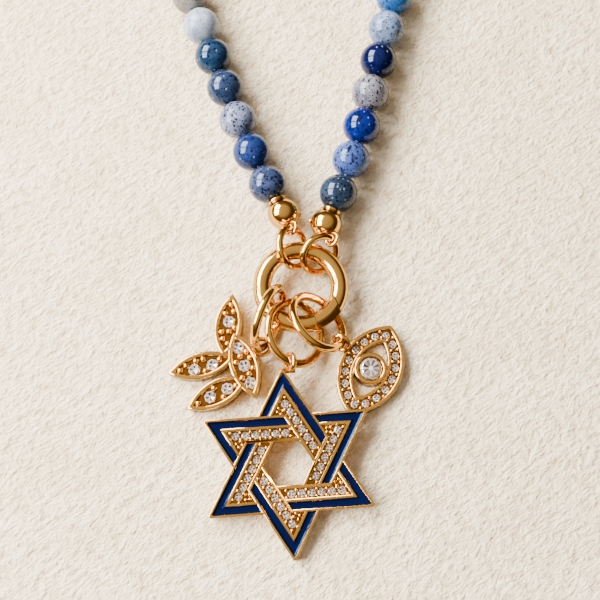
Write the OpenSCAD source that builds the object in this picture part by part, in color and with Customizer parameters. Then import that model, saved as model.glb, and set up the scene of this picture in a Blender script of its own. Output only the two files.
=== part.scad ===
// A charm necklace laid flat on a table. A loop of polished stone beads ends in two gold
// beads, each held by a link ring on a round gate clasp. Three charms hang on rings from
// the clasp: a leaf sprig, a woven six-pointed star and an eye.
// Millimetres, +Z up. The table is z = 0 and the strand runs away from the charms along +Y.

/* [Bead strand] */
// Number of stone beads
bead_n = 71; // [61:2:75]
// Diameter of each stone bead
bead_d = 5.9; // [5.8:0.01:5.92]
// Distance from one bead's centre to the next
bead_pitch = 6.0; // [6.0:0.01:6.05]
// Diameter of the hole through each bead
bead_bore = 0.9; // [0.8:0.05:1.2]
// Diameter of the thread
thread_d = 0.5; // [0.4:0.05:0.55]
// How far the strand's middle line leans to the left
strand_lean = 3.2; // [2:0.1:4]
// Half angle between the two strands where they start
strand_open = 24; // [22:0.5:26]
// Half angle between the two strands further up
strand_run = 17; // [14:0.5:20]

/* [End beads] */
// Diameter of the gold end beads
end_d = 4.8; // [4.6:0.1:4.8]
// Radius of the small wire loop under each end bead
loop_r = 1; // [0.95:0.01:1]
// Diameter of the loop's wire
loop_wire = 0.6; // [0.5:0.05:0.6]

/* [Clasp and rings] */
// Radius of the clasp ring's wire centre line
clasp_r = 5.8; // [5.75:0.05:5.85]
// Diameter of the clasp ring's wire
clasp_wire = 2.66; // [2.5:0.02:2.66]
// Height of the clasp ring's middle above the table
clasp_z = 3.05; // [3.05:0.01:3.08]
// Diameter of the gate's hinge pin
pin_d = 0.6; // [0.5:0.05:0.6]
// Play between the hinge pin and the gate's hole, on the radius
pin_play = 0.03; // [0.02:0.01:0.06]
// Diameter of the link rings' wire
link_wire = 1.1; // [1.0:0.02:1.12]
// Diameter of the charm rings' wire
charm_wire = 1.3; // [1.1:0.02:1.3]

/* [Star] */
// Distance from the star's middle to where the edges of a tip would meet
star_r = 13.8; // [13.7:0.1:13.9]
// Distance from the star's middle to its blunt tips
star_blunt = 13.45; // [13.3:0.05:13.5]
// How far the star is turned anticlockwise
star_turn = 4.1; // [3.5:0.1:4.5]
// How far the star leans up towards the clasp
star_tilt = 5.5; // [5.3:0.1:5.7]
// Diameter of the star's stones
star_stone = 1.25; // [1.15:0.01:1.26]

/* [Eye] */
// Half length of the eye from its middle to a tip
eye_half = 7.35; // [7.2:0.05:7.45]
// Half width of the eye
eye_wide = 4.63; // [4.5:0.01:4.7]
// Diameter of the eye's border stones
eye_stone = 1.27; // [1.15:0.01:1.28]
// Diameter of the eye's middle stone
eye_center = 3.35; // [3.2:0.05:3.35]

/* [Sprig] */
// Diameter of the sprig's stones
sprig_stone = 1.9; // [1.6:0.05:1.9]
// How far the sprig leans up towards its ring
sprig_tilt = 4.5; // [4:0.1:5]

/* [Metal plates] */
// Thickness of each charm's back plate
plate_t = 1.0; // [0.9:0.05:1.05]
// Height of the rims above the table side
rim_t = 1.5; // [1.45:0.05:1.55]
// Height of the floor that holds the stones
floor_t = 1.12; // [1.1:0.01:1.15]

/* [Hidden] */
$fn = 48;

gold = [0.83, 0.62, 0.33];
navy = [0.03, 0.10, 0.36];
clear = [0.90, 0.90, 0.93];
slate = [0.36, 0.46, 0.66];

// strand course, measured from its own middle line: x outwards, y away from the clasp
bead_z = bead_d / 2;
start_x = 4.97;
start_y = 14.85;
middle_shift = 1.68;
lead = 2.3;
bend_len = 16;
run_len = 21;
half_len = ((bead_n - 1) * bead_pitch + lead) / 2;
bend_rate = (strand_run - strand_open) / bend_len;
p_bend = go([start_x, start_y, strand_open], bend_len, bend_rate);
p_run = go(p_bend, run_len, 0);
arc_k = ((90 + strand_run) * PI / 180) / cos(strand_run);
rest_len = (half_len - bend_len - run_len - p_run[0] * arc_k) / (1 + arc_k * sin(strand_run));
p_rest = go(p_run, rest_len, 0);
back_r = p_rest[0] / cos(strand_run);
back_rate = -180 / (PI * back_r);
straight_end = bend_len + run_len + rest_len;

// ring seats: [centre x, y, z, direction of the ring's axis, axis height angle]
link_left = [-1.23, 6.2, 3.3, -3.8, 40.1];
link_right = [2.88, 5.12, 3.26, -50.6, 39.6];
charm_left = [-4.65, -5.44, 5.18, -23, 11];
charm_middle = [-0.85, -7.18, 3.34, 4, 55];
charm_right = [2.55, -5.65, 3.86, 33, 46];
loop_left = [-1.51, 9.17, 3.81, 179.4, 53.7];
loop_right = [4.68, 7.33, 3.89, 170, 53.5];
sprig_bail = [-5.68, -9.12, 2.64, -76, 66];
star_bail = [-1.58, -11.71, 4.0, 184, 33.5];
eye_bail = [5.96, -8.42, 2.43, 238.5, 42.1];
link_left_r = 3.0;
link_right_r = 2.9;
charm_r = 4.6;
charm_middle_r = 4.65;
bail_wire = 0.72;

end_left = [-2.66, 11.86, bead_z];
end_right = [3.88, 10.12, bead_z];

// clasp: the hinge sits on the wire's centre line, the slanted cut runs from the inside out
hinge_angle = -82;
hinge = [clasp_r * cos(hinge_angle), clasp_r * sin(hinge_angle)];
cut_in = [4.29, -0.30];
cut_dir = [0.398, -0.917];
cut_side = [0.917, 0.398];
cut_gap = 0.06;

// star, eye and sprig seats
star_at = [-1.75, -26.04];
tri_in = star_r / 2;
// insets from the star's outer edge: outer rim, enamel, middle rim, stone floor, inner rim
band = [0, 0.40, 1.45, 1.88, 3.30, 3.80];
star_run_step = 1.44;
eye_at = [10.29, -12.2];
eye_turn = 64.7;
eye_round = (pow(eye_half, 2) + pow(eye_wide, 2)) / (2 * eye_wide);
eye_side = eye_round - eye_wide;
sprig_pivot = -19.3;

// leaves: [tip x, y, base x, y, width], and the stones on them
stem_leaf = [-9.75, -6.9, -6.5, -16.6, 4.3];
leaves = [[-10.1, -0.9, -11.2, -10.4, 4.0],
          [-19.3, -12.8, -9.6, -10.6, 3.9],
          [-16.3, -18.1, -7.6, -13.6, 3.9]];
sprig_spots = [[-10.6, -5.0], [-15.6, -12.3], [-12.9, -11.6],
               [-13.1, -16.4], [-10.6, -15.2],
               [-9.15, -9.1], [-8.15, -11.8], [-7.2, -14.4]];

// the model is centred on its own outline
loop_points = [for (i = [0 : bead_n - 1]) bead_at(i * bead_pitch)];
max_x = max([for (p = loop_points) p[0]]) + bead_d / 2;
min_x = min([for (p = loop_points) p[0]]) - bead_d / 2;
max_y = max([for (p = loop_points) p[1]]) + bead_d / 2;
min_y = star_at[1] - star_blunt * cos(star_turn) * cos(star_tilt);
mid = [(min_x + max_x) / 2, (min_y + max_y) / 2];

// one step along a course: p is [x, y, heading], rate is the turn in degrees per millimetre
function go(p, s, rate) =
    rate == 0 ? [p[0] + s * sin(p[2]), p[1] + s * cos(p[2]), p[2]]
    : let(k = rate * PI / 180)
      [p[0] + (cos(p[2]) - cos(p[2] + rate * s)) / k,
       p[1] + (sin(p[2] + rate * s) - sin(p[2])) / k,
       p[2] + rate * s];

function half_at(s) =
    s < bend_len ? go([start_x, start_y, strand_open], s, bend_rate)
    : s < bend_len + run_len ? go(p_bend, s - bend_len, 0)
    : s < straight_end ? go(p_run, s - bend_len - run_len, 0)
    : go(p_rest, s - straight_end, back_rate);

function lean(x, y) = [(x + middle_shift) * cos(strand_lean) - y * sin(strand_lean),
                       (x + middle_shift) * sin(strand_lean) + y * cos(strand_lean)];

// a point of the strand, s from the first bead on the right round to the left
function bead_at(s) = let(right = s <= half_len, h = half_at(right ? s : 2 * half_len - s))
    lean(right ? h[0] : -h[0], h[1]);

function dir(a, b) = atan2(b[1] - a[1], b[0] - a[0]);

function seg_dir(s) = dir(bead_at(s - bead_pitch / 2), bead_at(s + bead_pitch / 2));

module wire_ring(seat, r, wire)
    translate([seat[0], seat[1], seat[2]]) rotate([0, 90 - seat[4], seat[3]])
        rotate_extrude() translate([r, 0]) circle(d = wire, $fn = 32);

// a round cut stone: flat table, star, kite and girdle facets, and a pointed underside
module cut_stone(d) {
    r = d / 2;
    top = 0.17 * d;
    mid_h = 0.10 * d;
    low = -0.36 * d;
    pts = concat([for (i = [0:7]) [0.58 * r * cos(45 * i), 0.58 * r * sin(45 * i), top]],
                 [for (i = [0:7]) [0.80 * r * cos(45 * i + 22.5), 0.80 * r * sin(45 * i + 22.5), mid_h]],
                 [for (i = [0:15]) [r * cos(22.5 * i), r * sin(22.5 * i), 0]],
                 [for (i = [0:15]) [r * cos(22.5 * i), r * sin(22.5 * i), -0.03 * d]],
                 [[0, 0, low]]);
    polyhedron(pts, concat(
        [[7, 6, 5, 4, 3, 2, 1, 0]],
        [for (i = [0:7]) [i, (i + 1) % 8, 8 + i]],
        [for (i = [0:7]) let(a = (i + 1) % 8) [a, 16 + 2 * a, 8 + i]],
        [for (i = [0:7]) let(a = (i + 1) % 8) [a, 8 + a, 16 + 2 * a]],
        [for (i = [0:7]) [8 + i, 16 + 2 * i + 1, 16 + 2 * i]],
        [for (i = [0:7]) [8 + i, 16 + (2 * i + 2) % 16, 16 + 2 * i + 1]],
        [for (j = [0:15]) [16 + j, 16 + (j + 1) % 16, 32 + (j + 1) % 16]],
        [for (j = [0:15]) [16 + j, 32 + (j + 1) % 16, 32 + j]],
        [for (j = [0:15]) [32 + j, 32 + (j + 1) % 16, 48]]));
}

module seat_hole(d) translate([0, 0, floor_t - 0.42 * d - 0.08]) cylinder(d = d + 0.12, h = 3);

module set_stone(d) translate([0, 0, floor_t - 0.01]) cut_stone(d);

module stone_beads() color(slate)
    for (i = [0 : bead_n - 1]) let(p = loop_points[i])
        translate([p[0], p[1], bead_z]) rotate([0, 90, seg_dir(i * bead_pitch)])
            difference() {
                sphere(d = bead_d);
                cylinder(d = bead_bore, h = bead_d + 2, center = true);
            }

// the thread bends only in the gaps between beads
module thread() color([0.80, 0.80, 0.82]) {
    left_dir = dir(loop_points[bead_n - 1], end_left);
    right_dir = dir(loop_points[0], end_right);
    spots = concat(
        [[end_right[0], end_right[1]]],
        [[end_right[0] - 2.6 * cos(right_dir), end_right[1] - 2.6 * sin(right_dir)]],
        [for (i = [0 : bead_n - 2]) bead_at((i + 0.5) * bead_pitch)],
        [[end_left[0] - 2.6 * cos(left_dir), end_left[1] - 2.6 * sin(left_dir)]],
        [[end_left[0], end_left[1]]]);
    n = len(spots);
    turn = [for (i = [0 : n - 1]) dir(spots[max(i - 1, 0)], spots[min(i + 1, n - 1)])];
    pts = [for (i = [0 : n - 1]) for (k = [0:7]) let(a = 45 * k + 22.5, w = thread_d / 2)
        [spots[i][0] - w * cos(a) * sin(turn[i]), spots[i][1] + w * cos(a) * cos(turn[i]), bead_z + w * sin(a)]];
    faces = concat([[for (k = [0:7]) k]], [[for (k = [7:-1:0]) (n - 1) * 8 + k]],
        [for (i = [0 : n - 2]) for (k = [0:7]) let(k2 = (k + 1) % 8)
            [i * 8 + k, (i + 1) * 8 + k, (i + 1) * 8 + k2, i * 8 + k2]]);
    polyhedron(pts, faces);
}

// an end bead with its collar and blind hole, its side knob and the wire loop soldered under it
module end_bead(at, towards, loop, knob) color(gold) {
    translate(at) rotate([0, 90, dir(at, towards)]) rotate_extrude() difference() {
        union() {
            intersection() {
                circle(d = end_d);
                translate([0, -end_d]) square([end_d, 2 * end_d]);
            }
            translate([1.2, 2.28]) circle(d = 0.56, $fn = 24);
        }
        translate([-1, -0.6]) square([1 + bead_bore / 2, 5]);
    }
    wire_ring(loop, loop_r, loop_wire);
    translate([at[0] + 2.4 * cos(knob), at[1] + 2.4 * sin(knob), at[2] + 0.3]) sphere(d = 0.8, $fn = 24);
}

// the part of the clasp that swings, seen from above; side moves its slanted cut
module gate_area(side) polygon([
    [3 * cos(hinge_angle), 3 * sin(hinge_angle)],
    [9 * cos(hinge_angle), 9 * sin(hinge_angle)],
    [7, -9],
    [cut_in[0] + 7 * cut_dir[0] + side * cut_side[0], cut_in[1] + 7 * cut_dir[1] + side * cut_side[1]],
    [cut_in[0] - 1.2 * cut_dir[0] + side * cut_side[0], cut_in[1] - 1.2 * cut_dir[1] + side * cut_side[1]]]);

module clasp_torus() translate([0, 0, clasp_z]) rotate_extrude()
    translate([clasp_r, 0]) circle(d = clasp_wire, $fn = 32);

module at_hinge(r, h) translate([hinge[0], hinge[1], clasp_z]) cylinder(r = r, h = h, center = true);

module clasp_ring() color(gold) {
    difference() {
        union() {
            difference() {
                clasp_torus();
                linear_extrude(height = 8) gate_area(cut_gap);
            }
            intersection() {
                clasp_torus();
                at_hinge(1.4, 4);
            }
        }
        at_hinge(1.42, 1.0);
    }
    at_hinge(pin_d / 2, 1.9);
}

// the gate's wire is flattened on top and on its outer shoulder, with a crease between
module gate_profile() polygon([for (i = [0:23]) let(a = 15 * i, w = clasp_wire / 2,
    x = w * cos(a), y = w * sin(a), y2 = min(y, 1.18), f = x + y2 > 1.62 ? 1.62 / (x + y2) : 1)
    [clasp_r + x * f, y2 * f]]);

module clasp_gate() color(gold) difference() {
    union() {
        difference() {
            intersection() {
                translate([0, 0, clasp_z]) rotate_extrude() gate_profile();
                linear_extrude(height = 8) gate_area(-cut_gap);
            }
            at_hinge(1.5, 4);
        }
        at_hinge(1.2, 0.9);
        intersection() {
            translate([0, 0, clasp_z]) rotate_extrude() translate([clasp_r - 1.15, -0.45]) square([2.3, 0.9]);
            at_hinge(1.75, 2);
            linear_extrude(height = 8) gate_area(-cut_gap);
        }
    }
    at_hinge(pin_d / 2 + pin_play, 4);
}

// a triangle band between two insets from the outer edge
module tri_band(a, b, up) rotate(up ? 90 : -90) difference() {
    circle(r = 2 * (tri_in - a), $fn = 3);
    circle(r = 2 * (tri_in - b), $fn = 3);
}

// the three crossings where one triangle passes over the other
module crossings(first) for (k = [0:2]) rotate(first + 120 * k)
    polygon([[0, 0], [16 * cos(30), -16 * sin(30)], [16 * cos(30), 16 * sin(30)]]);

// a band of one triangle, left out where the other triangle covers it
module woven(a, b, up) difference() {
    intersection() {
        tri_band(a, b, up);
        circle(r = star_blunt, $fn = 180);
    }
    intersection() {
        tri_band(band[0], band[5], !up);
        crossings(up ? 0 : 60);
    }
}

module star_plan(a, b) {
    woven(a, b, true);
    woven(a, b, false);
}

module star_place() translate([star_at[0], star_at[1], star_blunt * sin(star_tilt)])
    rotate([star_tilt, 0, 0]) rotate(star_turn) children();

module star_spots() for (k = [0:5]) rotate(-60 * k) for (j = [0:5]) {
    s = 0.15 + star_run_step * j;
    translate([0.5 * s, 2 * (tri_in - 2.59) - 0.866 * s, 0]) children();
}

module star_frame() color(gold) {
    star_place() difference() {
        union() {
            linear_extrude(height = plate_t) intersection() {
                union() { tri_band(0, band[5], true); tri_band(0, band[5], false); }
                circle(r = star_blunt, $fn = 180);
            }
            translate([0, 0, plate_t - 0.1]) linear_extrude(height = rim_t - plate_t + 0.1)
                star_plan(band[0], band[1]);
            translate([0, 0, plate_t - 0.1]) linear_extrude(height = rim_t - plate_t + 0.1)
                star_plan(band[2], band[3]);
            translate([0, 0, plate_t - 0.1]) linear_extrude(height = rim_t - plate_t + 0.1)
                star_plan(band[4], band[5]);
            translate([0, 0, plate_t - 0.1]) linear_extrude(height = floor_t - plate_t + 0.1)
                star_plan(band[3] - 0.05, band[4] + 0.05);
        }
        star_spots() seat_hole(star_stone);
    }
    wire_ring(star_bail, 1.15, bail_wire);
    translate([-3.2, -12.95, 3.5]) rotate([0, 90, 2]) cylinder(d = 0.76, h = 2.4, $fn = 24);
}

module star_enamel() color(navy) star_place() translate([0, 0, plate_t])
    linear_extrude(height = 0.36) star_plan(band[1] + 0.02, band[2] - 0.02);

module star_stones() color(clear) star_place() star_spots() set_stone(star_stone);

// the eye's outline, drawn in by an inset
module eye_plan(inset) intersection() {
    translate([0, -eye_side]) circle(r = eye_round - inset, $fn = 96);
    translate([0, eye_side]) circle(r = eye_round - inset, $fn = 96);
}

module eye_place() translate([eye_at[0], eye_at[1], 0]) rotate(eye_turn) children();

module eye_spots() {
    r = eye_round - 1.18;
    reach = acos(eye_side / r);
    for (m = [-1, 1]) for (j = [1:7]) let(a = reach * (j - 4) / 4)
        translate([r * sin(a), m * (r * cos(a) - eye_side), 0]) children();
    for (m = [-1, 1]) translate([m * 5.72, 0, 0]) children();
}

module eye_frame() color(gold) {
    eye_place() difference() {
        union() {
            linear_extrude(height = floor_t) difference() { eye_plan(0); eye_plan(2.33); }
            linear_extrude(height = rim_t) difference() { eye_plan(0); eye_plan(0.48); }
            linear_extrude(height = rim_t) difference() { eye_plan(1.88); eye_plan(2.33); }
            cylinder(d = 4.8, h = 2.0);
        }
        eye_spots() seat_hole(eye_stone);
        translate([0, 0, 0.35]) cylinder(d = eye_center + 0.14, h = 3);
    }
    wire_ring(eye_bail, 1.15, bail_wire);
    translate([6.98, -9.1, 0.5]) cylinder(d = 0.9, h = 2.0, $fn = 24);
}

module eye_stones() color(clear) eye_place() eye_spots() set_stone(eye_stone);

module eye_center_stone() color(clear) eye_place() translate([0, 0, 1.72]) cut_stone(eye_center);

// a leaf from its tip to its base, drawn in by an inset
module leaf_plan(v, inset) {
    half = norm([v[2] - v[0], v[3] - v[1]]) / 2;
    round_r = (pow(half, 2) + pow(v[4] / 2, 2)) / v[4];
    side = round_r - v[4] / 2;
    translate([(v[0] + v[2]) / 2, (v[1] + v[3]) / 2]) rotate(atan2(v[3] - v[1], v[2] - v[0]))
        intersection() {
            translate([0, -side]) circle(r = round_r - inset, $fn = 96);
            translate([0, side]) circle(r = round_r - inset, $fn = 96);
        }
}

// the sprig turns up about its left edge, so that its bail side is raised
module sprig_place() translate([sprig_pivot, 0, 0]) rotate([0, -sprig_tilt, 0])
    translate([-sprig_pivot, 0, 0]) children();

module sprig_frame() color(gold) {
    sprig_place() difference() {
        linear_extrude(height = rim_t) { leaf_plan(stem_leaf, 0); for (v = leaves) leaf_plan(v, 0); }
        translate([0, 0, floor_t]) linear_extrude(height = 3) {
            leaf_plan(stem_leaf, 0.42);
            difference() { leaf_plan(leaves[0], 0.42); leaf_plan(stem_leaf, 0); leaf_plan(leaves[1], 0); }
            difference() { leaf_plan(leaves[1], 0.42); leaf_plan(stem_leaf, 0); leaf_plan(leaves[2], 0); }
            difference() { leaf_plan(leaves[2], 0.42); leaf_plan(stem_leaf, 0); }
        }
        for (p = sprig_spots) translate([p[0], p[1], 0]) seat_hole(sprig_stone);
    }
    wire_ring(sprig_bail, 1.2, bail_wire);
    translate([-7.05, -9.45, 1.3]) cylinder(d = 0.9, h = 1.4, $fn = 24);
}

module sprig_stones() color(clear) sprig_place()
    for (p = sprig_spots) translate([p[0], p[1], 0]) set_stone(sprig_stone);

module link_ring_left() color(gold) wire_ring(link_left, link_left_r, link_wire);
module link_ring_right() color(gold) wire_ring(link_right, link_right_r, link_wire);
module charm_ring_left() color(gold) wire_ring(charm_left, charm_r, charm_wire);
module charm_ring_middle() color(gold) wire_ring(charm_middle, charm_middle_r, charm_wire);
module charm_ring_right() color(gold) wire_ring(charm_right, charm_r, charm_wire);
module end_bead_left() end_bead(end_left, loop_points[bead_n - 1], loop_left, -8);
module end_bead_right() end_bead(end_right, loop_points[0], loop_right, 170);

translate([-mid[0], -mid[1], 0]) {
    thread();
    stone_beads();
    end_bead_left();
    end_bead_right();
    link_ring_left();
    link_ring_right();
    clasp_ring();
    clasp_gate();
    charm_ring_left();
    charm_ring_middle();
    charm_ring_right();
    star_frame();
    star_enamel();
    star_stones();
    eye_frame();
    eye_stones();
    eye_center_stone();
    sprig_frame();
    sprig_stones();
}
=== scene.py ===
import math
import random

import bmesh
import bpy
from mathutils import Matrix, Vector


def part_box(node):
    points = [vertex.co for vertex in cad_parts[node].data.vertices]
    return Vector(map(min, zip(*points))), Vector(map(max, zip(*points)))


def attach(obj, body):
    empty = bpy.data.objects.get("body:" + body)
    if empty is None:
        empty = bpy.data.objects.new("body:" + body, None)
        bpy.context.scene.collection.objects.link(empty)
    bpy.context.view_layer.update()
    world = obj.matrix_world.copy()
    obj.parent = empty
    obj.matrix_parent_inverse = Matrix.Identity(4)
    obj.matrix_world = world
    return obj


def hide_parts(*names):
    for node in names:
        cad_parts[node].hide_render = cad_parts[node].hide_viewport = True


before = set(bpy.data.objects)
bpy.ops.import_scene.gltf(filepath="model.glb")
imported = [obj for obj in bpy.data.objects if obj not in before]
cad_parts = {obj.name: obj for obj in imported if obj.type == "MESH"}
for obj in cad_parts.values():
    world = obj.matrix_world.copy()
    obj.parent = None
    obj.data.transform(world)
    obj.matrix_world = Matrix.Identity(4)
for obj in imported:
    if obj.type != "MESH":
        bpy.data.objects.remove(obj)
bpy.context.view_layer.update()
mm = 0.001
fullTurn = 6.28
print("necklace loaded")

# everything is measured from the middle of the clasp ring, in millimetres
claspReach = 7.13
ringLow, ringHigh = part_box("clasp_ring")
claspX = (ringLow[0] + ringHigh[0]) / 2
claspY = ringHigh[1] - claspReach * mm


def place(x, y, z):
    return Vector((claspX + x * mm, claspY + y * mm, z * mm))


# camera as in the photograph, 17 degrees off straight down
cameraFacts = {"lens": 60, "sensor": 36, "away": 150, "lean": 17, "aim": (-0.12, -1.70, 2.0),
               "clip": (0.005, 20)}


def makeCamera():
    facts = cameraFacts
    data = bpy.data.cameras.new("camera")
    data.lens = facts["lens"]
    data.sensor_width = facts["sensor"]
    data.clip_start, data.clip_end = facts["clip"]
    lean = math.radians(facts["lean"])
    camera = bpy.data.objects.new("camera", data)
    back = Vector((0, -math.sin(lean), math.cos(lean))) * facts["away"] * mm
    camera.location = place(*facts["aim"]) + back
    camera.rotation_euler = (lean, 0, 0)
    bpy.context.collection.objects.link(camera)
    bpy.context.scene.camera = camera


makeCamera()


# 0-255 screen colour to shader colour
def linear(red, green, blue):
    shares = [value / 255 for value in (red, green, blue)]
    return (*[v / 12.92 if v < 0.0404 else ((v + 0.055) / 1.055) ** 2.4 for v in shares], 1.0)


def newMaterial(name):
    material = bpy.data.materials.new(name)
    material.use_nodes = True
    tree = material.node_tree
    return material, tree, tree.nodes["Principled BSDF"]


# plain values, set on the shader's own sockets
def setLook(shader, look):
    for socket, value in look.items():
        shader.inputs[socket].default_value = value


def addNode(tree, kind, **inputs):
    node = tree.nodes.new(kind)
    for key, value in inputs.items():
        node.inputs[key].default_value = value
    return node


def objectPoint(tree):
    return tree.nodes.new("ShaderNodeTexCoord").outputs["Object"]


def noiseOf(tree, point, scale, detail=3.0, rough=0.55):
    noise = addNode(tree, "ShaderNodeTexNoise", Scale=scale, Detail=detail, Roughness=rough)
    tree.links.new(point, noise.inputs["Vector"])
    return noise.outputs["Fac"]


def rampOf(tree, value, stops):
    ramp = tree.nodes.new("ShaderNodeValToRGB")
    while len(ramp.color_ramp.elements) < len(stops):
        ramp.color_ramp.elements.new(0.5)
    for element, (at, colour) in zip(ramp.color_ramp.elements, stops):
        element.position = at
        element.color = colour
    tree.links.new(value, ramp.inputs["Fac"])
    return ramp.outputs["Color"]


# a value's span, drawn out or turned round to run from low to high
def spanOf(tree, value, low, high, fromLow=0.0, fromHigh=1.0):
    span = tree.nodes.new("ShaderNodeMapRange")
    for socket, number in zip(("From Min", "From Max", "To Min", "To Max"), (fromLow, fromHigh, low, high)):
        span.inputs[socket].default_value = number
    tree.links.new(value, span.inputs["Value"])
    return span.outputs["Result"]


# a Mix node's colours go into sockets 6 and 7, and the mixed one comes out of 2
def mixOf(tree, factor, first, second, blend="MIX"):
    mix = tree.nodes.new("ShaderNodeMix")
    mix.data_type = "RGBA"
    mix.blend_type = blend
    for value, socket in ((factor, mix.inputs[0]), (first, mix.inputs[6]), (second, mix.inputs[7])):
        if isinstance(value, (int, float, tuple)):
            socket.default_value = value
        else:
            tree.links.new(value, socket)
    return mix.outputs[2]


def mathOf(tree, operation, first, second=None):
    node = tree.nodes.new("ShaderNodeMath")
    node.operation = operation
    for value, socket in zip((first, second), node.inputs):
        if isinstance(value, (int, float)):
            socket.default_value = value
        elif value is not None:
            tree.links.new(value, socket)
    return node.outputs[0]


def vectorMathOf(tree, operation, first, where, second):
    node = tree.nodes.new("ShaderNodeVectorMath")
    node.operation = operation
    tree.links.new(first, node.inputs[0])
    socket = node.inputs[where]
    if isinstance(second, tuple):
        socket.default_value = second
    else:
        tree.links.new(second, socket)
    return node


def bumpOf(tree, shader, height, strength, distance):
    bump = addNode(tree, "ShaderNodeBump", Strength=strength, Distance=distance)
    tree.links.new(height, bump.inputs["Height"])
    tree.links.new(bump.outputs["Normal"], shader.inputs["Normal"])


# in the facts of a finish, a noise is its scale, detail and roughness, and a bump its strength and depth
# warm polished gold plating, with faint polishing waves; the frames' gold has painted shade in its sunk beds
goldFacts = {"bright": (230, 180, 88), "deep": (215, 163, 77), "cloud": (420, 2.0), "bedShade": (146, 94, 36),
             "flat": (0.985, 0.993), "wear": (1500, 4.0), "rough": (0.07, 0.15), "wave": (900, 2.0),
             "bump": (0.12, 0.0001)}
goldLook = {"Metallic": 1.0, "Specular Tint": (0.42, 0.52, 0.62, 1)}


def makeGold(name, bedShade):
    facts = goldFacts
    material, tree, shader = newMaterial(name)
    point = objectPoint(tree)
    cloud = noiseOf(tree, point, *facts["cloud"])
    colour = mixOf(tree, cloud, linear(*facts["deep"]), linear(*facts["bright"]))
    if bedShade:
        # painted shade: the sunk beds under the stones lie flat, and their flat faces are painted a darker
        # brown
        split = tree.nodes.new("ShaderNodeSeparateXYZ")
        normal = tree.nodes.new("ShaderNodeNewGeometry").outputs["True Normal"]
        tree.links.new(normal, split.inputs[0])
        flat = spanOf(tree, split.outputs["Z"], 0.0, 1.0, *facts["flat"])
        colour = mixOf(tree, flat, colour, linear(*facts["bedShade"]))
    setLook(shader, goldLook)
    tree.links.new(colour, shader.inputs["Base Color"])
    wear = noiseOf(tree, point, *facts["wear"])
    tree.links.new(spanOf(tree, wear, *facts["rough"]), shader.inputs["Roughness"])
    bumpOf(tree, shader, noiseOf(tree, point, *facts["wave"]), *facts["bump"])
    return material


# dark blue enamel, poured a little unevenly
enamelTones = {"deep": (1, 2, 26), "bright": (2, 6, 42), "cloud": (350, 3.0), "wave": (600, 2.0),
               "bump": (0.3, 0.0001)}
enamelLook = {"Roughness": 0.1, "IOR": 1.37, "Specular Tint": (0.22, 0.45, 1.0, 1)}


def makeEnamel():
    facts = enamelTones
    material, tree, shader = newMaterial("blueEnamel")
    point = objectPoint(tree)
    cloud = noiseOf(tree, point, *facts["cloud"])
    colour = mixOf(tree, cloud, linear(*facts["deep"]), linear(*facts["bright"]))
    tree.links.new(colour, shader.inputs["Base Color"])
    setLook(shader, enamelLook)
    bumpOf(tree, shader, noiseOf(tree, point, *facts["wave"]), *facts["bump"])
    return material


# clear cut stones: each facet has a painted reflection of its own, from dark to clear white
reflectionTones = [(0.0, (0.03, 0.02, 0.015, 1)), (0.5, (0.44, 0.35, 0.32, 1)), (0.85, (1.0, 0.94, 0.91, 1))]
stoneCloud = {"noise": (1300, 2.0), "light": (0.75, 1.2), "span": (0.3, 0.7)}
stoneLook = {"Metallic": 0.7, "Roughness": 0.12, "IOR": 2.0, "Coat Weight": 0.6, "Coat Roughness": 0.02}


def makeClearStone():
    material, tree, shader = newMaterial("clearStone")
    paintedReflection = tree.nodes.new("ShaderNodeAttribute")
    paintedReflection.attribute_name = "paintedReflection"
    noise = noiseOf(tree, objectPoint(tree), *stoneCloud["noise"])
    cloud = spanOf(tree, noise, *stoneCloud["light"], *stoneCloud["span"])
    # the base colour is each facet's painted reflection, from dark to white
    tone = rampOf(tree, paintedReflection.outputs["Fac"], reflectionTones)
    lit = vectorMathOf(tree, "SCALE", tone, "Scale", cloud)
    tree.links.new(lit.outputs[0], shader.inputs["Base Color"])
    setLook(shader, stoneLook)
    return material


# polished stone with clouds, dark veins and blotches, and small flecks, dark and pale
# a bead's own colour is its tint, and the tint's fourth value says how flecked it is
# a kind of fleck is its scale, how it is drawn out, its inner and outer reach, and where it stays away
beadFacts = {"cloud": (360, 5.0, 0.62), "vein": (480, 4.0, 0.65), "veinSpan": (0.004, 0.02), "veinDark": 0.55,
             "blotch": (800, 3.0, 0.6), "blotchSpan": (0.59, 0.68), "blotchDark": 0.75,
             "patch": 0.35, "patchEdge": 0.05,
             "flecks": ((1400, (1.0, 1.0, 1.0), 0.25, 0.30, 0.30), (1000, (1.0, 0.4, 1.0), 0.18, 0.24, 0.42),
                        (2400, (1.0, 1.0, 1.0), 0.24, 0.30, 0.42)),
             "pale": (1700, (1.0, 0.6, 0.8), 0.15, 0.22, 0.46), "paleTone": (0.75, 0.8, 0.9, 1.0),
             "paleShare": 0.22, "deep": (2, 5, 20), "tintShare": 0.06}
beadClouds = [(0.30, (0.42, 0.44, 0.50, 1)), (0.48, (0.85, 0.86, 0.9, 1)), (0.60, (1.1, 1.1, 1.1, 1)),
              (0.74, (1.9, 1.8, 1.7, 1))]
beadLook = {"Roughness": 0.09, "IOR": 1.4, "Specular Tint": (0.60, 0.75, 1.0, 1), "Subsurface Weight": 0.15,
            "Subsurface Scale": 0.001, "Subsurface Radius": (0.8, 0.9, 1.0)}


# flecks of one kind: round or drawn-out spots, left out where the stone is bare
def flecksOf(tree, point, scale, stretch, near, far, bare):
    drawn = vectorMathOf(tree, "MULTIPLY", point, 1, stretch)
    cells = addNode(tree, "ShaderNodeTexVoronoi", Scale=scale, Randomness=1.0)
    tree.links.new(drawn.outputs[0], cells.inputs["Vector"])
    spots = spanOf(tree, cells.outputs["Distance"], 1.0, 0.0, near, far)
    patches = noiseOf(tree, point, scale * beadFacts["patch"], 2.0)
    flecked = spanOf(tree, patches, 0.0, 1.0, bare, bare + beadFacts["patchEdge"])
    return mathOf(tree, "MULTIPLY", spots, flecked)


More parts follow.
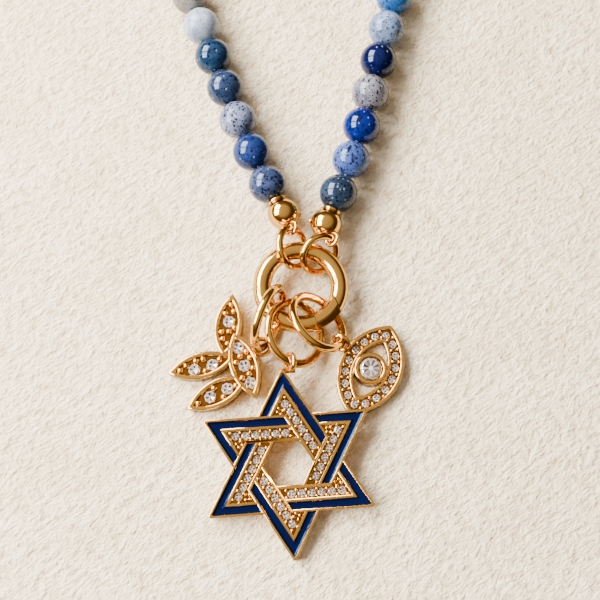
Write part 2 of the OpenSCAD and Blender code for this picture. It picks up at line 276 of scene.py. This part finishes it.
def makeBeadStone():
    facts = beadFacts
    material, tree, shader = newMaterial("beadStone")
    point = objectPoint(tree)
    tint = tree.nodes.new("ShaderNodeAttribute")
    tint.attribute_name = "tint"
    cloud = rampOf(tree, noiseOf(tree, point, *facts["cloud"]), beadClouds)
    body = mixOf(tree, 1.0, tint.outputs["Color"], cloud, "MULTIPLY")
    light = mixOf(tree, facts["paleShare"], body, facts["paleTone"])
    pale = mathOf(tree, "MULTIPLY", flecksOf(tree, point, *facts["pale"]), tint.outputs["Alpha"])
    body = mixOf(tree, pale, body, light)
    deep = mixOf(tree, facts["tintShare"], linear(*facts["deep"]), tint.outputs["Color"])
    # the darkest of blotches, veins and flecks counts
    blotches = noiseOf(tree, point, *facts["blotch"])
    dark = spanOf(tree, blotches, 0.0, facts["blotchDark"], *facts["blotchSpan"])
    ridge = mathOf(tree, "SUBTRACT", noiseOf(tree, point, *facts["vein"]), 0.5)
    veins = spanOf(tree, mathOf(tree, "ABSOLUTE", ridge), facts["veinDark"], 0.0, *facts["veinSpan"])
    dark = mathOf(tree, "MAXIMUM", dark, veins)
    for kind in facts["flecks"]:
        dark = mathOf(tree, "MAXIMUM", dark, flecksOf(tree, point, *kind))
    amount = mathOf(tree, "MULTIPLY", dark, tint.outputs["Alpha"])
    tree.links.new(mixOf(tree, amount, body, deep), shader.inputs["Base Color"])
    setLook(shader, beadLook)
    return material


# pale beading thread, slightly rough
threadFacts = {"dark": (196, 192, 184), "light": (228, 226, 220), "cloud": (3000, 2.0), "fibre": (6000, 1.0),
               "bump": (0.5, 0.0001)}
threadLook = {"Roughness": 0.75}


def makeThreadFibre():
    facts = threadFacts
    material, tree, shader = newMaterial("threadFibre")
    point = objectPoint(tree)
    cloud = noiseOf(tree, point, *facts["cloud"])
    colour = mixOf(tree, cloud, linear(*facts["dark"]), linear(*facts["light"]))
    tree.links.new(colour, shader.inputs["Base Color"])
    setLook(shader, threadLook)
    bumpOf(tree, shader, noiseOf(tree, point, *facts["fibre"]), *facts["bump"])
    return material


gold = makeGold("polishedGold", False)
# the frames' gold, with painted shade on the flat beds under the stones
shadedBedGold = makeGold("shadedBedGold", True)
enamel = makeEnamel()
clearStone = makeClearStone()
beadStone = makeBeadStone()
threadFibre = makeThreadFibre()
finishes = {"thread": threadFibre, "star_enamel": enamel, "star_stones": clearStone, "eye_stones": clearStone,
            "eye_center_stone": clearStone, "sprig_stones": clearStone, "stone_beads": beadStone,
            "star_frame": shadedBedGold, "eye_frame": shadedBedGold, "sprig_frame": shadedBedGold}
for name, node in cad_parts.items():
    node.data.materials.clear()
    node.data.materials.append(finishes.get(name, gold))
print("materials made")


def finishPiece(bm, name, material, smooth=True):
    mesh = bpy.data.meshes.new(name)
    bm.to_mesh(mesh)
    bm.free()
    if smooth:
        mesh.polygons.foreach_set("use_smooth", [True] * len(mesh.polygons))
    mesh.materials.append(material)
    piece = bpy.data.objects.new(name, mesh)
    bpy.context.collection.objects.link(piece)
    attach(piece, "necklace")
    return piece


# the strand's course, the same as in the solids: its headings, open and run, are in degrees
strand = {"count": 71, "pitch": 6.0, "size": 5.9, "hole": 0.9, "open": 24, "run": 17, "bend": 16,
          "straight": 21, "lead": 2.3, "start": (4.97, 14.85), "shift": 1.68, "lean": 3.2}


# from a point with a heading, so far along a straight or an arc
def step(p, s, rate):
    x, y, h = p
    a = math.radians(h)
    if rate == 0:
        return x + s * math.sin(a), y + s * math.cos(a), h
    k = math.radians(rate)
    b = a + k * s
    return x + (math.cos(a) - math.cos(b)) / k, y + (math.sin(b) - math.sin(a)) / k, h + rate * s


# one half of the loop: a bend, two straights and an arc round the back; the other half mirrors it
def makeCourse():
    half = ((strand["count"] - 1) * strand["pitch"] + strand["lead"]) / 2
    run = math.radians(strand["run"])
    start = (*strand["start"], strand["open"])
    bendRate = (strand["run"] - strand["open"]) / strand["bend"]
    bendEnd = step(start, strand["bend"], bendRate)
    runEnd = step(bendEnd, strand["straight"], 0)
    arc = (math.pi / 2 + run) / math.cos(run)
    rest = (half - strand["bend"] - strand["straight"] - runEnd[0] * arc) / (1 + arc * math.sin(run))
    restEnd = step(runEnd, rest, 0)
    backRate = -math.degrees(math.cos(run) / restEnd[0])
    legs = [(strand["bend"], start, bendRate), (strand["straight"], bendEnd, 0), (rest, runEnd, 0),
            (math.inf, restEnd, backRate)]
    lean = math.radians(strand["lean"])

    def at(s):
        side = 1 if s <= half else -1
        s = s if s <= half else 2 * half - s
        for length, legStart, rate in legs:
            if s < length:
                x, y = step(legStart, s, rate)[:2]
                break
            s -= length
        x = side * x + strand["shift"]
        return x * math.cos(lean) - y * math.sin(lean), x * math.sin(lean) + y * math.cos(lean)
    return at


# bead colours, each with its share of flecks, from the clasp outwards on either side
rightColours = [(32, 46, 64, 1.0), (57, 75, 132, 1.0), (4, 22, 96, 1.0), (108, 108, 119, 1.0),
                (3, 8, 52, 1.0), (100, 119, 152, 0.8), (34, 81, 138, 0.8)]
leftColours = [(43, 54, 85, 1.0), (25, 41, 90, 1.0), (103, 112, 140, 1.0), (36, 50, 78, 1.0),
               (20, 42, 68, 1.0), (142, 154, 171, 0.4), (118, 114, 108, 0.5)]
# the hidden beads take most of these again, mixed
mixedColours = rightColours[:6] + [leftColours[i] for i in (0, 2, 3, 5, 4)]
beadShape = {"rim": 0.08, "hollow": 0.09, "round": (0.02, 0.03), "rows": 9, "around": 32, "seed": 7}


# one bead: a turned profile with a softened rim at each end of the hole
def makeOneBead():
    facts = beadShape
    radius = strand["size"] / 2 * mm
    hole = strand["hole"] / 2 * mm
    edge = math.asin((hole + facts["rim"] * mm) / radius)
    end = radius * math.cos(edge)
    wider, lower = facts["round"]
    points = [Vector((hole, 0, 0.0)), Vector((hole, 0, end - facts["hollow"] * mm)),
              Vector((hole + wider * mm, 0, end - lower * mm))]
    for i in range(facts["rows"] + 1):
        a = edge + (math.pi / 2 - edge) * i / facts["rows"]
        points.append(Vector((radius * math.sin(a), 0, radius * math.cos(a))))
    bm = bmesh.new()
    corners = [bm.verts.new(p) for p in points]
    corners += [bm.verts.new(Vector((p.x, 0, -p.z))) for p in reversed(points[1:-1])]
    edges = [bm.edges.new(pair) for pair in zip(corners, corners[1:])]
    edges.append(bm.edges.new((corners[-1], corners[0])))
    bmesh.ops.spin(bm, geom=corners + edges, cent=(0, 0, 0), axis=(0, 0, 1), angle=2 * math.pi,
                   steps=facts["around"], use_merge=True, use_duplicate=False)
    bmesh.ops.remove_doubles(bm, verts=bm.verts, dist=1e-7)
    bmesh.ops.recalc_face_normals(bm, faces=bm.faces)
    mesh = bpy.data.meshes.new("oneBead")
    bm.to_mesh(mesh)
    bm.free()
    return mesh


def makeBeads():
    at = makeCourse()
    rng = random.Random(beadShape["seed"])
    single = makeOneBead()
    bm = bmesh.new()
    tint = bm.verts.layers.float_color.new("tint")
    count = strand["count"]
    for i in range(count):
        s = i * strand["pitch"]
        x, y = at(s)
        x0, y0 = at(s - strand["pitch"] / 2)
        x1, y1 = at(s + strand["pitch"] / 2)
        heading = Matrix.Rotation(math.atan2(y1 - y0, x1 - x0), 4, "Z")
        lying = Matrix.Rotation(math.pi / 2, 4, "Y")
        roll = Matrix.Rotation(rng.uniform(0, fullTurn), 4, "Z")
        here = Matrix.Translation(place(x, y, strand["size"] / 2))
        before = len(bm.verts)
        bm.from_mesh(single)
        bm.verts.ensure_lookup_table()
        fresh = bm.verts[before:]
        bmesh.ops.transform(bm, matrix=here @ heading @ lying @ roll, verts=fresh)
        if i < len(rightColours):
            colour = rightColours[i]
        elif count - 1 - i < len(leftColours):
            colour = leftColours[count - 1 - i]
        else:
            colour = rng.choice(mixedColours)
        for vert in fresh:
            vert[tint] = (*linear(*colour[:3])[:3], colour[3])
    piece = finishPiece(bm, "beadString", beadStone)
    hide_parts("stone_beads")
    bpy.data.meshes.remove(single)


makeBeads()
print("beads strung")


# where each charm lies, as in the solids; a rim of the star is its inset, half its width and its foot
# the way from the eye's middle to a tip has so many parts, with a stone at each; the sprig tilts at its pivot
starFacts = {"at": (-1.75, -26.04), "sharp": 13.8, "blunt": 13.45, "turn": 4.1, "tilt": 5.5, "line": 2.59,
             "rims": ((0.20, 0.21, 0.0), (1.665, 0.23, 0.95), (3.55, 0.27, 0.0)), "rise": 0.1, "first": 0.15,
             "step": 1.44, "stones": 6, "stone": 1.25, "arms": 6, "soft": 0.5}
eyeFacts = {"at": (10.29, -12.2), "turn": 64.7, "half": 7.35, "wide": 4.63, "line": 1.18, "stones": 7,
            "parts": 4, "tip": 5.72, "stone": 1.27, "middle": 3.4, "middleHeight": 1.72, "middleSides": 16}
sprigFacts = {"pivot": -19.3, "tilt": 4.5, "stone": 1.9}
starTilt = math.radians(starFacts["tilt"])
starPlace = Matrix.Translation(place(*starFacts["at"], starFacts["blunt"] * math.sin(starTilt))) @ \
    Matrix.Rotation(starTilt, 4, "X") @ Matrix.Rotation(math.radians(starFacts["turn"]), 4, "Z")
eyePlace = Matrix.Translation(place(*eyeFacts["at"], 0)) @ \
    Matrix.Rotation(math.radians(eyeFacts["turn"]), 4, "Z")
sprigPlace = Matrix.Translation(place(sprigFacts["pivot"], 0, 0)) @ \
    Matrix.Rotation(math.radians(-sprigFacts["tilt"]), 4, "Y") @ \
    Matrix.Translation(Vector((-sprigFacts["pivot"] * mm, 0, 0)))
floorHeight = 1.12
stoneHeight = floorHeight - 0.01
rimTop = 1.5
sharpest = 0.3


# the star's place, turned on by k of its arms
def armPlace(k):
    return starPlace @ Matrix.Rotation(math.radians(360 / starFacts["arms"] * k), 4, "Z")


# a line's two sides, mitred at its corners
def sidesOf(line, half, closed):
    sides = ([], [])
    count = len(line)
    for i, point in enumerate(line):
        here = Vector(point)
        before = Vector(line[i - 1]) if closed or i > 0 else None
        after = Vector(line[(i + 1) % count]) if closed or i < count - 1 else None
        first = (here - before).normalized() if before is not None else (after - here).normalized()
        second = (after - here).normalized() if after is not None else first
        across = Vector((-first.y - second.y, first.x + second.x)).normalized()
        # a very sharp corner isn't mitred to its full reach
        reach = half / max(sharpest, across.dot(Vector((-first.y, first.x))))
        sides[0].append(here + across * reach)
        sides[1].append(here - across * reach)
    return sides


# a strip along a line, drawn up from low to high; it comes back with its top faces
def raiseStrip(line, half, low, high, closed=False):
    part = bmesh.new()
    sides = sidesOf(line, half, closed)
    left, right = [[part.verts.new(Vector((p.x, p.y, low)) * mm) for p in side] for side in sides]
    count = len(line)
    faces = []
    for i in range(count if closed else count - 1):
        j = (i + 1) % count
        faces.append(part.faces.new((left[i], right[i], right[j], left[j])))
    out = bmesh.ops.extrude_face_region(part, geom=faces)["geom"]
    top = [g for g in out if isinstance(g, bmesh.types.BMVert)]
    bmesh.ops.translate(part, verts=top, vec=(0, 0, (high - low) * mm))
    return part, [g for g in out if isinstance(g, bmesh.types.BMFace)]


def addPart(bm, part, matrix):
    bmesh.ops.transform(part, matrix=matrix, verts=part.verts)
    mesh = bpy.data.meshes.new("onePart")
    part.to_mesh(mesh)
    part.free()
    bm.from_mesh(mesh)
    bpy.data.meshes.remove(mesh)


# one raised rim, rounded along its top
def addRim(bm, matrix, line, half, low, high, soft, closed=False, segments=3):
    part, caps = raiseStrip(line, half, low, high, closed)
    edges = [e for e in part.edges if len([f for f in e.link_faces if f in caps]) == 1]
    bmesh.ops.bevel(part, geom=edges, offset=soft * mm, affect="EDGES", segments=segments, profile=0.5,
                    material=-1, clamp_overlap=False)
    bmesh.ops.recalc_face_normals(part, faces=part.faces)
    addPart(bm, part, matrix)


# where two lines cross, each given by the angle of its normal and its distance
def meet(first, second):
    (a, d), (b, e) = first, second
    ca, sa = math.cos(math.radians(a)), math.sin(math.radians(a))
    cb, sb = math.cos(math.radians(b)), math.sin(math.radians(b))
    det = ca * sb - sa * cb
    return (d * sb - e * sa) / det, (ca * e - cb * d) / det


# a line along one band of the star, round its tip, from neighbour to neighbour; a blunt tip is cut off at cut
def bandLine(d, cut=None):
    inner = starFacts["sharp"] / 2
    start = meet((30, d), (-30, inner - starFacts["rims"][2][0]))
    end = meet((150, d), (90, inner - starFacts["rims"][0][0]))
    if cut is None:
        return [start, meet((30, d), (150, d)), end]
    return [start, meet((30, d), (90, cut)), meet((150, d), (90, cut)), end]


# the star's rims, woven over and under as six like bands
def makeStarRims():
    bm = bmesh.new()
    for k in range(starFacts["arms"]):
        for i, (inset, half, foot) in enumerate(starFacts["rims"]):
            # only the outer rim's tip is blunt
            cut = starFacts["blunt"] - half if i == 0 else None
            line = bandLine(starFacts["sharp"] / 2 - inset, cut)
            addRim(bm, armPlace(k), line, half, foot, rimTop + starFacts["rise"], half * starFacts["soft"])
    finishPiece(bm, "starRims", gold)


# enamel poured between the rims: it creeps up their sides, in steps inwards and down, and lies a little lower
enamelFacts = {"from": 0.36, "to": 1.49, "low": 1.02, "top": 1.5,
               "creep": ((0.05, 0.07), (0.06, 0.04), (0.15, 0.067), (0.08, 0.015))}


def makeEnamelPour():
    facts = enamelFacts
    bm = bmesh.new()
    line = bandLine(starFacts["sharp"] / 2 - (facts["from"] + facts["to"]) / 2)
    for k in range(starFacts["arms"]):
        part, caps = raiseStrip(line, (facts["to"] - facts["from"]) / 2, facts["low"], facts["top"])
        bmesh.ops.recalc_face_normals(part, faces=part.faces)
        for wide, drop in facts["creep"]:
            bmesh.ops.inset_region(part, faces=caps, thickness=wide * mm, depth=-drop * mm,
                                   use_even_offset=True, use_boundary=True)
        addPart(bm, part, armPlace(k))
    piece = finishPiece(bm, "enamelPour", enamel, smooth=False)
    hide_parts("star_enamel")


# a pointed oval's arcs: their radius, and how far their middles lie from its own
def ovalArcs(half, wide):
    big = (half ** 2 + wide ** 2) / (2 * wide)
    return big, big - wide


# the two arcs of a pointed oval, from tip to tip and back
def ovalLine(half, wide, inset, count=24):
    big, side = ovalArcs(half, wide)
    r = big - inset
    reach = math.acos(side / r)
    line = []
    for hand in (1, -1):
        for j in range(count):
            a = reach * (2 * j / count - 1) * hand
            line.append((r * math.sin(a), hand * (r * math.cos(a) - side)))
    return line


def circleLine(r, count):
    turns = [2 * math.pi * i / count for i in range(count)]
    return [(r * math.cos(a), r * math.sin(a)) for a in turns]


# an oval rim of the eye is its inset and half its width; the bezel is a round rim, higher than they are
eyeRims = {"ovals": ((0.23, 0.28), (2.1, 0.27)), "rise": 0.08, "soft": 0.15, "bezel": 2.11, "bezelHalf": 0.33,
           "bezelTop": 2.1, "bezelSoft": 0.22, "bezelSteps": 4, "around": 56}


def makeEyeRims():
    facts = eyeRims
    bm = bmesh.new()
    for inset, half in facts["ovals"]:
        line = ovalLine(eyeFacts["half"], eyeFacts["wide"], inset)
        addRim(bm, eyePlace, line, half, 0.0, rimTop + facts["rise"], facts["soft"], closed=True)
    ring = circleLine(facts["bezel"], facts["around"])
    addRim(bm, eyePlace, ring, facts["bezelHalf"], 0.0, facts["bezelTop"], facts["bezelSoft"], closed=True,
           segments=facts["bezelSteps"])
    finishPiece(bm, "eyeRims", gold)


# leaves of the sprig: tip, base and width
leaves = {"stem": (-9.75, -6.9, -6.5, -16.6, 4.3), "top": (-10.1, -0.9, -11.2, -10.4, 4.0),
          "middle": (-19.3, -12.8, -9.6, -10.6, 3.9), "low": (-16.3, -18.1, -7.6, -13.6, 3.9)}
# the leaves that lie over each leaf
covers = {"stem": [], "top": ["stem", "middle"], "middle": ["stem", "low"], "low": ["stem"]}
sprigRim = {"inset": 0.27, "half": 0.33, "rise": 0.1, "soft": 0.18, "under": 0.1, "points": 14}


# a leaf's middle, the way it points, and half its length and width
def leafFrame(name):
    x0, y0, x1, y1, wide = leaves[name]
    long = math.hypot(x1 - x0, y1 - y0)
    return (x0 + x1) / 2, (y0 + y1) / 2, math.atan2(y1 - y0, x1 - x0), long / 2, wide / 2


def insideLeaf(name, x, y, inset):
    midX, midY, a, half, wide = leafFrame(name)
    big, side = ovalArcs(half, wide)
    dx, dy = x - midX, y - midY
    u, v = dx * math.cos(a) + dy * math.sin(a), -dx * math.sin(a) + dy * math.cos(a)
    return math.hypot(u, abs(v) + side) < big - inset


def leafLine(name, inset):
    midX, midY, a, half, wide = leafFrame(name)
    c, s = math.cos(a), math.sin(a)
    line = ovalLine(half, wide, inset, sprigRim["points"])
    return [(midX + u * c - v * s, midY + u * s + v * c) for u, v in line]


# a leaf's rim is left out where another leaf lies over it
def makeSprigRims():
    facts = sprigRim
    bm = bmesh.new()

    def rim(line, closed=False):
        addRim(bm, sprigPlace, line, facts["half"], 0.0, rimTop + facts["rise"], facts["soft"], closed=closed)

    for name, others in covers.items():
        line = leafLine(name, facts["inset"])
        hidden = [any(insideLeaf(other, x, y, facts["under"]) for other in others) for x, y in line]
        if not any(hidden):
            rim(line, closed=True)
            continue
        first = next(i for i in range(len(line)) if hidden[i - 1] and not hidden[i])
        line = line[first - 1:] + line[:first - 1]
        hidden = hidden[first - 1:] + hidden[:first - 1]
        run = [line[0]]
        for point, covered in zip(line[1:], hidden[1:]):
            run.append(point)
            if covered:
                if len(run) > 2:
                    rim(run)
                run = [point]
        if len(run) > 2:
            rim(run)
    finishPiece(bm, "sprigRims", gold)


makeStarRims()
makeEnamelPour()
makeEyeRims()
makeSprigRims()
print("rims made")


def addBall(bm, matrix, x, y, z, radius):
    here = matrix @ Matrix.Translation(Vector((x, y, z)) * mm)
    bmesh.ops.create_icosphere(bm, subdivisions=2, radius=radius * mm, matrix=here)


# a row of stones runs down from the star's tip at 60 degrees
rowAside = 0.5
rowDown = 0.866


# a place on one side of the tip: how far along the row, and how far across it
def onArm(along, across=0.0, hand=1):
    top = starFacts["sharp"] - 2 * starFacts["line"]
    return hand * rowAside * along + rowDown * across, top - rowDown * along + hand * rowAside * across


# tiny balls of metal hold the stones, in pairs halfway between them
starBalls = {"size": 0.28, "rise": 0.2, "count": 7, "across": 0.48, "short": ((1.08, 0.36), (1.66, 0.30)),
             "shortRise": 0.15}


def makeStarBalls():
    facts = starBalls
    bm = bmesh.new()
    for arm in range(starFacts["arms"]):
        turn = armPlace(-arm)
        for j in range(facts["count"]):
            along = starFacts["first"] + starFacts["step"] * (j - 0.5)
            for side in (-1, 1):
                x, y = onArm(along, facts["across"] * side)
                addBall(bm, turn, x, y, floorHeight + facts["rise"], facts["size"])
        # a few more fill the short stretch on the tip's other side
        for along, across in facts["short"]:
            for side in (-1, 1):
                x, y = onArm(along, across * side, -1)
                addBall(bm, turn, x, y, floorHeight + facts["shortRise"], facts["size"])
    finishPiece(bm, "starBalls", gold)


# the same along the eye's arcs, in two rows
eyeBalls = {"size": 0.28, "rise": 0.2, "count": 8, "insets": (0.7, 1.66)}


def makeEyeBalls():
    facts = eyeBalls
    bm = bmesh.new()
    big, side = ovalArcs(eyeFacts["half"], eyeFacts["wide"])
    reach = math.acos(side / (big - eyeFacts["line"]))
    for inset in facts["insets"]:
        r = big - inset
        for hand in (-1, 1):
            for j in range(facts["count"]):
                a = reach * (j - (facts["count"] - 1) / 2) / eyeFacts["parts"]
                x, y = r * math.sin(a), hand * (r * math.cos(a) - side)
                addBall(bm, eyePlace, x, y, floorHeight + facts["rise"], facts["size"])
    finishPiece(bm, "eyeBalls", gold)


# where the sprig's stones lie
sprigSpots = [(-10.6, -5.0), (-15.6, -12.3), (-12.9, -11.6), (-13.1, -16.4), (-10.6, -15.2), (-9.15, -9.1),
              (-8.15, -11.8), (-7.2, -14.4)]
sprigBalls = {"size": 0.48, "rise": 0.12, "insets": (1.02, 1.7), "apart": 1.02, "around": 1.3, "cover": -0.35,
              "tries": (0, 0.25, 0.5, 0.75)}


# balls along a leaf's rim, clear of its stones, of each other and of the leaves above
def makeSprigBalls():
    facts = sprigBalls
    bm = bmesh.new()
    taken = []
    for name, others in covers.items():
        spots = []
        for line in [leafLine(name, inset) for inset in facts["insets"]]:
            for (x, y), (u, v) in zip(line, line[1:] + line[:1]):
                spots += [(x + (u - x) * t, y + (v - y) * t) for t in facts["tries"]]
        for x, y in spots:
            clear = all(math.hypot(x - u, y - v) > facts["around"] for u, v in sprigSpots)
            free = all(math.hypot(x - u, y - v) > facts["apart"] for u, v in taken)
            if clear and free and not any(insideLeaf(other, x, y, facts["cover"]) for other in others):
                taken.append((x, y))
                addBall(bm, sprigPlace, x, y, floorHeight + facts["rise"], facts["size"])
    finishPiece(bm, "sprigBalls", gold)


# a cut stone in shares of its width: steps of the crown (inwards, up), the wedges on top and their dish, and
# the painted reflections of its facets
stoneCut = {"foot": 0.02, "deep": 0.36, "crown": ((0.06, 0.08), (0.07, 0.06)), "wedge": 0.27, "dish": -0.04,
            "swell": 0.008, "seed": 3, "crownShades": (0.35, 0.6, 0.8, 1.0), "wedgeShades": (0.0, 0.45),
            "wedgeSpread": 0.3, "middle": 0.9, "below": 0.3}


def stepIn(bm, faces, wide, rise):
    return bmesh.ops.inset_region(bm, faces=faces, thickness=wide, depth=rise, use_even_offset=True,
                                  use_boundary=True)["faces"]


# a brilliant, one unit across, with a painted reflection on each facet: the wedges on top are painted dark
# and light, as the facets below would show, and the middle bright
def cutStone(sides, rng):
    facts = stoneCut
    bm = bmesh.new()
    paintedReflection = bm.faces.layers.float.new("paintedReflection")
    bmesh.ops.create_cone(bm, cap_ends=True, segments=sides, radius1=facts["foot"], radius2=0.5,
                          depth=facts["deep"])
    bmesh.ops.translate(bm, verts=bm.verts, vec=(0, 0, -facts["deep"] / 2))
    # every facet gets a painted reflection value: grey below, random on the crown, dark and light wedges, a
    # bright middle
    for face in bm.faces:
        face[paintedReflection] = facts["below"]
    top = [max(bm.faces, key=lambda face: face.calc_center_median().z)]
    crown = []
    for wide, rise in facts["crown"]:
        crown += stepIn(bm, top, wide, rise)
    wedges = stepIn(bm, top, facts["wedge"], facts["dish"])
    top[0][paintedReflection] = facts["middle"]
    for face in wedges:
        at = face.calc_center_median()
        turn = math.floor(math.atan2(at.y, at.x) / (2 * math.pi) * sides)
        face[paintedReflection] = facts["wedgeShades"][turn % 2] + rng.uniform(0, facts["wedgeSpread"])
    for face in bmesh.ops.poke(bm, faces=crown, offset=facts["swell"])["faces"]:
        face[paintedReflection] = rng.choice(facts["crownShades"])
    bmesh.ops.recalc_face_normals(bm, faces=bm.faces)
    mesh = bpy.data.meshes.new("oneStone")
    bm.to_mesh(mesh)
    bm.free()
    return mesh


def makeStones(name, node, across, places, sides=8):
    rng = random.Random(stoneCut["seed"])
    single = cutStone(sides, rng)
    bm = bmesh.new()
    bm.faces.layers.float.new("paintedReflection")
    for here in places:
        before = len(bm.verts)
        bm.from_mesh(single)
        bm.verts.ensure_lookup_table()
        turn = Matrix.Rotation(rng.uniform(0, fullTurn), 4, "Z")
        bmesh.ops.transform(bm, matrix=here @ turn @ Matrix.Scale(across * mm, 4), verts=bm.verts[before:])
    piece = finishPiece(bm, name, clearStone, smooth=False)
    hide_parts(node)
    bpy.data.meshes.remove(single)


def spot(matrix, x, y, z=stoneHeight):
    return matrix @ Matrix.Translation(Vector((x, y, z)) * mm)


def starSpots():
    for arm in range(starFacts["arms"]):
        turn = armPlace(-arm)
        for j in range(starFacts["stones"]):
            yield spot(turn, *onArm(starFacts["first"] + starFacts["step"] * j))


def eyeSpots():
    big, side = ovalArcs(eyeFacts["half"], eyeFacts["wide"])
    r = big - eyeFacts["line"]
    for hand in (-1, 1):
        yield spot(eyePlace, hand * eyeFacts["tip"], 0)
        for j in range(eyeFacts["stones"]):
            a = math.acos(side / r) * (j - (eyeFacts["stones"] - 1) / 2) / eyeFacts["parts"]
            yield spot(eyePlace, r * math.sin(a), hand * (r * math.cos(a) - side))


makeStarBalls()
makeEyeBalls()
makeSprigBalls()
makeStones("starStones", "star_stones", starFacts["stone"], starSpots())
makeStones("eyeStones", "eye_stones", eyeFacts["stone"], eyeSpots())
onLeaves = [spot(sprigPlace, x, y) for x, y in sprigSpots]
makeStones("sprigStones", "sprig_stones", sprigFacts["stone"], onLeaves)
eyeMiddle = spot(eyePlace, 0, 0, eyeFacts["middleHeight"])
makeStones("eyeStone", "eye_center_stone", eyeFacts["middle"], [eyeMiddle], eyeFacts["middleSides"])
print("stones set")

# a pale plastered table top, with slanting strokes in its relief and beige hollows
tableFacts = {"size": 6.0, "light": (233, 221, 193), "dark": (225, 206, 174), "hollow": (202, 178, 141),
              "patch": (110, 6.0, 0.66), "patchSpan": (0.38, 0.62), "slant": 33, "long": 1.6,
              "grain": (900, 3.5, 0.76), "hollowSpan": (0.36, 0.52), "bump": (1.0, 0.0011)}
tableLook = {"Roughness": 0.85}


def makeTable():
    facts = tableFacts
    bm = bmesh.new()
    bmesh.ops.create_grid(bm, x_segments=1, y_segments=1, size=facts["size"] / 2)
    mesh = bpy.data.meshes.new("tableTop")
    bm.to_mesh(mesh)
    bm.free()
    material, tree, shader = newMaterial("palePlaster")
    setLook(shader, tableLook)
    point = objectPoint(tree)
    patch = spanOf(tree, noiseOf(tree, point, *facts["patch"]), 0.0, 1.0, *facts["patchSpan"])
    body = mixOf(tree, patch, linear(*facts["dark"]), linear(*facts["light"]))
    slanted = tree.nodes.new("ShaderNodeMapping")
    slanted.vector_type = "TEXTURE"
    slanted.inputs["Rotation"].default_value = (0, 0, math.radians(facts["slant"]))
    slanted.inputs["Scale"].default_value = (facts["long"], 1, 1)
    tree.links.new(point, slanted.inputs["Vector"])
    relief = noiseOf(tree, slanted.outputs["Vector"], *facts["grain"])
    hollow = spanOf(tree, relief, 1.0, 0.0, *facts["hollowSpan"])
    tree.links.new(mixOf(tree, hollow, body, linear(*facts["hollow"])), shader.inputs["Base Color"])
    bumpOf(tree, shader, relief, *facts["bump"])
    mesh.materials.append(material)
    table = bpy.data.objects.new("tableTop", mesh)
    bpy.context.collection.objects.link(table)


# a tall window of two panes on the upper left
windowFacts = {"at": (-330, 100, 290), "towards": (0, -8, 0), "panes": 2, "size": (0.27, 0.25), "apart": 0.31,
               "power": 10.9, "colour": (1.0, 0.95, 0.87)}


def makeWindow():
    facts = windowFacts
    middle = place(*facts["at"])
    turn = (place(*facts["towards"]) - middle).to_track_quat("-Z", "Y")
    for i in range(facts["panes"]):
        data = bpy.data.lights.new("windowPane", "AREA")
        data.shape = "RECTANGLE"
        data.size, data.size_y = facts["size"]
        data.energy = facts["power"]
        data.color = facts["colour"]
        lamp = bpy.data.objects.new("windowPane", data)
        along = (i - (facts["panes"] - 1) / 2) * facts["apart"]
        lamp.location = middle + turn @ Vector((along, 0, 0))
        lamp.rotation_euler = turn.to_euler()
        bpy.context.collection.objects.link(lamp)


# a dim room with a lighter ceiling, brighter on the window's side
roomFacts = {"ceiling": (0.80, 0.69, 0.58), "wall": (0.18, 0.108, 0.06), "heights": (0.2, 0.5, 0.8),
             "lit": (-0.80, 0.30, 0.52), "glow": (0.42, 1.35), "sides": (-0.6, 1.0)}


def makeRoom():
    facts = roomFacts
    world = bpy.data.worlds.new("dimRoom")
    bpy.context.scene.world = world
    world.use_nodes = True
    tree = world.node_tree
    point = tree.nodes.new("ShaderNodeTexCoord").outputs["Generated"]
    split = tree.nodes.new("ShaderNodeSeparateXYZ")
    tree.links.new(point, split.inputs[0])
    tones = (facts["wall"], facts["wall"], facts["ceiling"])
    dim = rampOf(tree, split.outputs["Z"], [(at, (*tone, 1)) for at, tone in zip(facts["heights"], tones)])
    side = vectorMathOf(tree, "DOT_PRODUCT", point, 1, facts["lit"])
    glow = spanOf(tree, side.outputs["Value"], *facts["glow"], *facts["sides"])
    lit = vectorMathOf(tree, "SCALE", dim, "Scale", glow)
    tree.links.new(lit.outputs[0], tree.nodes["Background"].inputs["Color"])


makeTable()
makeWindow()
makeRoom()
print("table and light set")
